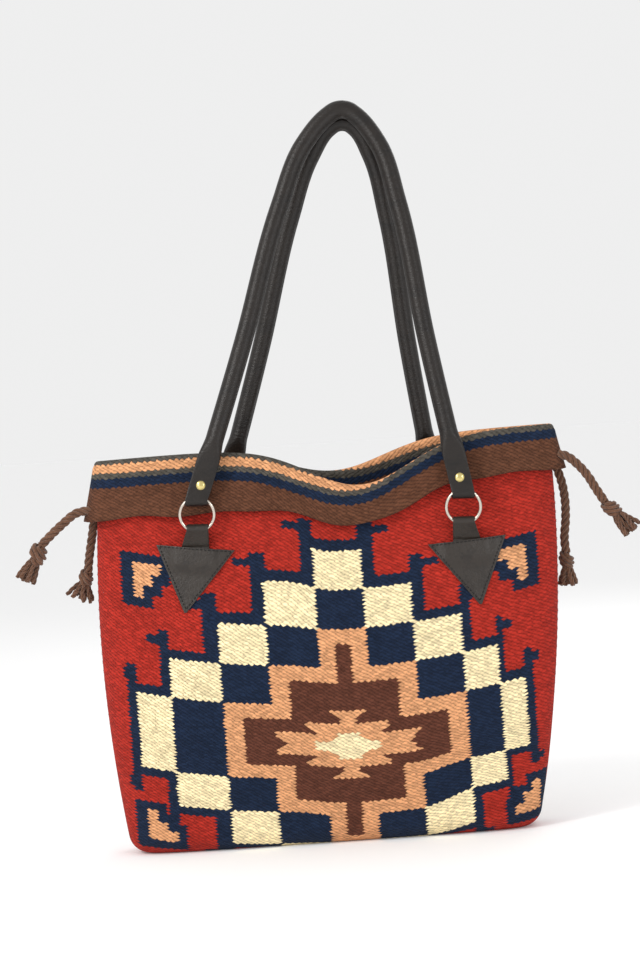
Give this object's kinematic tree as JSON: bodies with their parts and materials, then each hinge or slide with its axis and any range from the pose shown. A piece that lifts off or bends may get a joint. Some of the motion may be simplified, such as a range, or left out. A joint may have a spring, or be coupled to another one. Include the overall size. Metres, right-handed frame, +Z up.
{
  "type": "tote bag",
  "caption": "Hand-woven wool tote with a folded cuff, rolled leather handles hung on rings from triangular patches, and knotted cords at the cuff's corners.",
  "frame": {"origin": "on the ground under the middle of the bag, measured without its cords and tassels", "axes": "+Z up out of the mouth, the front panel faces -Y, +X to the right as the front is seen"},
  "size_m": [0.5926, 0.1088, 0.6971],
  "materials": {
    "wool": "coarse hand-woven wool",
    "yarn": "plied wool yarn",
    "leather": "smooth dark leather with a low sheen",
    "core": "twisted cotton rope",
    "brass": "polished",
    "nickel": "polished nickel plate"
  },
  "bodies": {
    "bag": {"wool_shell": "wool", "front_tab_left": "leather", "front_tab_right": "leather", "back_tab_left": "leather", "back_tab_right": "leather", "front_patch_left": "leather", "front_patch_right": "leather", "back_patch_left": "leather", "back_patch_right": "leather", "front_left_cord": "yarn", "back_left_cord": "yarn", "front_right_cord": "yarn", "back_right_cord": "yarn", "front_left_tassel": "yarn", "back_left_tassel": "yarn", "front_right_tassel": "yarn", "back_right_tassel": "yarn"},
    "front_ring_left": {"front_ring_left": "nickel"},
    "front_ring_right": {"front_ring_right": "nickel"},
    "front_handle": {"front_handle_cover": "leather", "front_handle_core": "core", "front_rivet_left": "brass", "front_rivet_right": "brass"},
    "back_ring_left": {"back_ring_left": "nickel"},
    "back_ring_right": {"back_ring_right": "nickel"},
    "back_handle": {"back_handle_cover": "leather", "back_handle_core": "core", "back_rivet_left": "brass", "back_rivet_right": "brass"}
  },
  "joints": [
    {"name": "front_ring_left_swing", "type": "hinge", "parent": "bag", "child": "front_ring_left", "pos_m": [-0.12087, -0.0442, 0.3039], "axis": [0.9992, 0, -0.0401], "range_deg": [0, 70]},
    {"name": "front_ring_right_swing", "type": "hinge", "parent": "bag", "child": "front_ring_right", "pos_m": [0.12773, -0.0442, 0.29391], "axis": [0.9992, 0, -0.0401], "range_deg": [0, 70]},
    {"name": "front_handle_fold", "type": "hinge", "parent": "front_ring_left", "child": "front_handle", "pos_m": [-0.11974, -0.04814, 0.33188], "axis": [0.9992, 0, -0.0401], "range_deg": [0, 74]},
    {"name": "back_ring_left_swing", "type": "hinge", "parent": "bag", "child": "back_ring_left", "pos_m": [-0.09898, 0.0442, 0.30302], "axis": [-0.9992, 0, 0.0401], "range_deg": [0, 70]},
    {"name": "back_ring_right_swing", "type": "hinge", "parent": "bag", "child": "back_ring_right", "pos_m": [0.10585, 0.0442, 0.29479], "axis": [-0.9992, 0, 0.0401], "range_deg": [0, 70]},
    {"name": "back_handle_fold", "type": "hinge", "parent": "back_ring_left", "child": "back_handle", "pos_m": [-0.09786, 0.04814, 0.331], "axis": [-0.9992, 0, 0.0401], "range_deg": [0, 74]}
  ],
  "couplings": [
    {"joint": "front_ring_right_swing", "follows": "front_ring_left_swing", "ratio": 1},
    {"joint": "back_ring_right_swing", "follows": "back_ring_left_swing", "ratio": 1}
  ]
}
